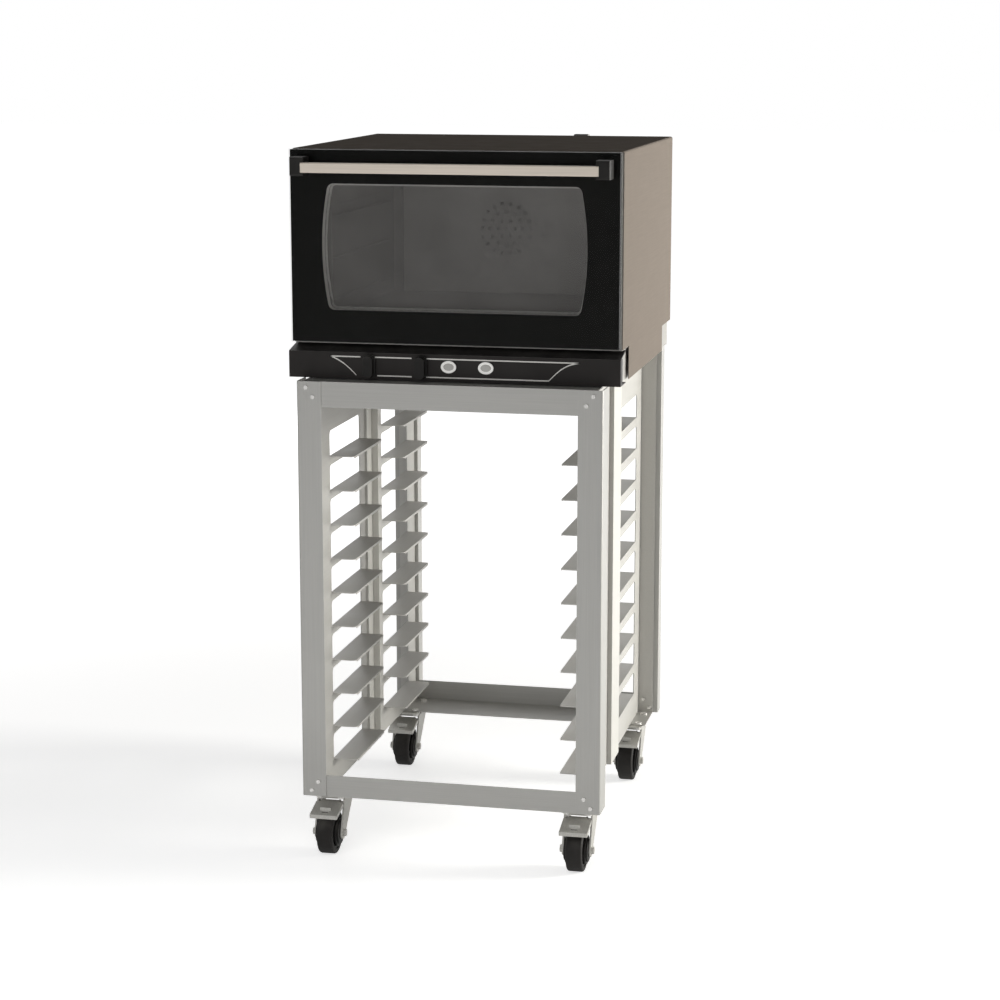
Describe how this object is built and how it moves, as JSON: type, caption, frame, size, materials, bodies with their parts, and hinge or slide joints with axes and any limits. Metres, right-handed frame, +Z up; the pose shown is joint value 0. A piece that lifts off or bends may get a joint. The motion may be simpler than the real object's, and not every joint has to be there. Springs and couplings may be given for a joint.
{
  "type": "half-size convection oven on a mobile tray stand",
  "caption": "Convection oven with a drop-down glass door, control panel below it, on a wheeled steel tray rack with tab slides.",
  "frame": {"origin": "on the floor, in the middle of the whole part's bounding box", "axes": "+X to the right seen from the front, +Y to the back, +Z up"},
  "size_m": [0.604, 0.7366, 1.296],
  "materials": {
    "stand_steel": "brushed stainless sheet",
    "zinc_steel": "bright zinc plated",
    "casing_steel": "dull brushed stainless sheet",
    "inner_steel": "plain dull stainless",
    "black_enamel": "satin black enamel",
    "panel_black": "satin black paint with a thin silver border line",
    "tinted_glass": "dark tinted, glossy",
    "clear_glass": "clear, glossy",
    "handle_metal": "satin, warm tint",
    "black_plastic": "fine grained",
    "wheel_plastic": "moulded",
    "tyre_rubber": "matt",
    "gasket_rubber": "matt",
    "pilot_lens": "translucent light grey with a white rim",
    "wool": "mineral wool",
    "motor_metal": "cast",
    "element_steel": "heat tinted",
    "fan_metal": "plain"
  },
  "bodies": {
    "oven_and_stand": {"leg_front_left": "stand_steel", "rack_front_left": "stand_steel", "leg_front_right": "stand_steel", "rack_front_right": "stand_steel", "top_rail_front": "stand_steel", "bottom_rail_front": "stand_steel", "leg_rear_left": "stand_steel", "rack_rear_left": "stand_steel", "leg_rear_right": "stand_steel", "rack_rear_right": "stand_steel", "top_rail_rear": "stand_steel", "bottom_rail_rear": "stand_steel", "mid_posts": "stand_steel", "frame_bolts": "zinc_steel", "caster_plates": "zinc_steel", "caster_bolts": "zinc_steel", "oven_pads": "gasket_rubber", "oven_base": "casing_steel", "oven_casing": "casing_steel", "front_frame": "inner_steel", "back_panel": "casing_steel", "exhaust_duct": "casing_steel", "cable_gland": "black_plastic", "cavity_liner": "inner_steel", "insulation": "wool", "fan_baffle": "inner_steel", "fan_motor": "motor_metal", "heating_element": "element_steel", "tray_guides": "inner_steel", "cavity_lamp": "clear_glass", "door_gasket": "gasket_rubber", "door_hinges": "zinc_steel", "control_panel": "panel_black", "control_switches": "black_plastic", "pilot_lamps": "pilot_lens"},
    "door": {"door_frame": "black_enamel", "door_liner": "inner_steel", "door_outer_glass": "tinted_glass", "door_inner_glass": "clear_glass", "door_handle": "handle_metal", "handle_brackets": "black_plastic"},
    "timer": {"timer_knob": "black_plastic"},
    "thermostat": {"thermostat_knob": "black_plastic"},
    "fan": {"fan_rotor": "fan_metal"},
    "swivel_front_left": {"caster_fork_front_left": "zinc_steel"},
    "wheel_front_left": {"caster_wheel_front_left": "wheel_plastic", "caster_tyre_front_left": "tyre_rubber"},
    "brake_front_left": {"caster_brake_front_left": "zinc_steel"},
    "swivel_front_right": {"caster_fork_front_right": "zinc_steel"},
    "wheel_front_right": {"caster_wheel_front_right": "wheel_plastic", "caster_tyre_front_right": "tyre_rubber"},
    "brake_front_right": {"caster_brake_front_right": "zinc_steel"},
    "swivel_rear_left": {"caster_fork_rear_left": "zinc_steel"},
    "wheel_rear_left": {"caster_wheel_rear_left": "wheel_plastic", "caster_tyre_rear_left": "tyre_rubber"},
    "brake_rear_left": {"caster_brake_rear_left": "zinc_steel"},
    "swivel_rear_right": {"caster_fork_rear_right": "zinc_steel"},
    "wheel_rear_right": {"caster_wheel_rear_right": "wheel_plastic", "caster_tyre_rear_right": "tyre_rubber"},
    "brake_rear_right": {"caster_brake_rear_right": "zinc_steel"}
  },
  "joints": [
    {"name": "door_hinge", "type": "hinge", "parent": "oven_and_stand", "child": "door", "pos_m": [0, -0.29055, 0.962], "axis": [1, 0, 0], "range_deg": [0, 90], "stiffness_Nm_per_rad": 3.5, "springref_deg": -17.19},
    {"name": "timer_turn", "type": "hinge", "parent": "oven_and_stand", "child": "timer", "pos_m": [-0.152, -0.30885, 0.9106], "axis": [0, 1, 0], "range_deg": [0, 300]},
    {"name": "thermostat_turn", "type": "hinge", "parent": "oven_and_stand", "child": "thermostat", "pos_m": [-0.057, -0.30885, 0.9106], "axis": [0, 1, 0], "range_deg": [0, 300]},
    {"name": "fan_spin", "type": "hinge", "parent": "oven_and_stand", "child": "fan", "pos_m": [0, 0.17545, 1.121], "axis": [0, 1, 0], "continuous": true},
    {"name": "caster_swivel_front_left", "type": "hinge", "parent": "oven_and_stand", "child": "swivel_front_left", "pos_m": [-0.233, -0.28425, 0.1], "axis": [0, 0, 1], "continuous": true},
    {"name": "caster_roll_front_left", "type": "hinge", "parent": "swivel_front_left", "child": "wheel_front_left", "pos_m": [-0.233, -0.32495, 0.04], "axis": [1, 0, 0], "continuous": true},
    {"name": "caster_brake_front_left", "type": "hinge", "parent": "swivel_front_left", "child": "brake_front_left", "pos_m": [-0.233, -0.31025, 0.093], "axis": [1, 0, 0], "range_deg": [0, 10]},
    {"name": "caster_swivel_front_right", "type": "hinge", "parent": "oven_and_stand", "child": "swivel_front_right", "pos_m": [0.233, -0.28425, 0.1], "axis": [0, 0, 1], "continuous": true},
    {"name": "caster_roll_front_right", "type": "hinge", "parent": "swivel_front_right", "child": "wheel_front_right", "pos_m": [0.233, -0.32495, 0.04], "axis": [1, 0, 0], "continuous": true},
    {"name": "caster_brake_front_right", "type": "hinge", "parent": "swivel_front_right", "child": "brake_front_right", "pos_m": [0.233, -0.31025, 0.093], "axis": [1, 0, 0], "range_deg": [0, 10]},
    {"name": "caster_swivel_rear_left", "type": "hinge", "parent": "oven_and_stand", "child": "swivel_rear_left", "pos_m": [-0.233, 0.27725, 0.1], "axis": [0, 0, 1], "continuous": true},
    {"name": "caster_roll_rear_left", "type": "hinge", "parent": "swivel_rear_left", "child": "wheel_rear_left", "pos_m": [-0.233, 0.23655, 0.04], "axis": [1, 0, 0], "continuous": true},
    {"name": "caster_brake_rear_left", "type": "hinge", "parent": "swivel_rear_left", "child": "brake_rear_left", "pos_m": [-0.233, 0.25125, 0.093], "axis": [1, 0, 0], "range_deg": [0, 10]},
    {"name": "caster_swivel_rear_right", "type": "hinge", "parent": "oven_and_stand", "child": "swivel_rear_right", "pos_m": [0.233, 0.27725, 0.1], "axis": [0, 0, 1], "continuous": true},
    {"name": "caster_roll_rear_right", "type": "hinge", "parent": "swivel_rear_right", "child": "wheel_rear_right", "pos_m": [0.233, 0.23655, 0.04], "axis": [1, 0, 0], "continuous": true},
    {"name": "caster_brake_rear_right", "type": "hinge", "parent": "swivel_rear_right", "child": "brake_rear_right", "pos_m": [0.233, 0.25125, 0.093], "axis": [1, 0, 0], "range_deg": [0, 10]}
  ]
}
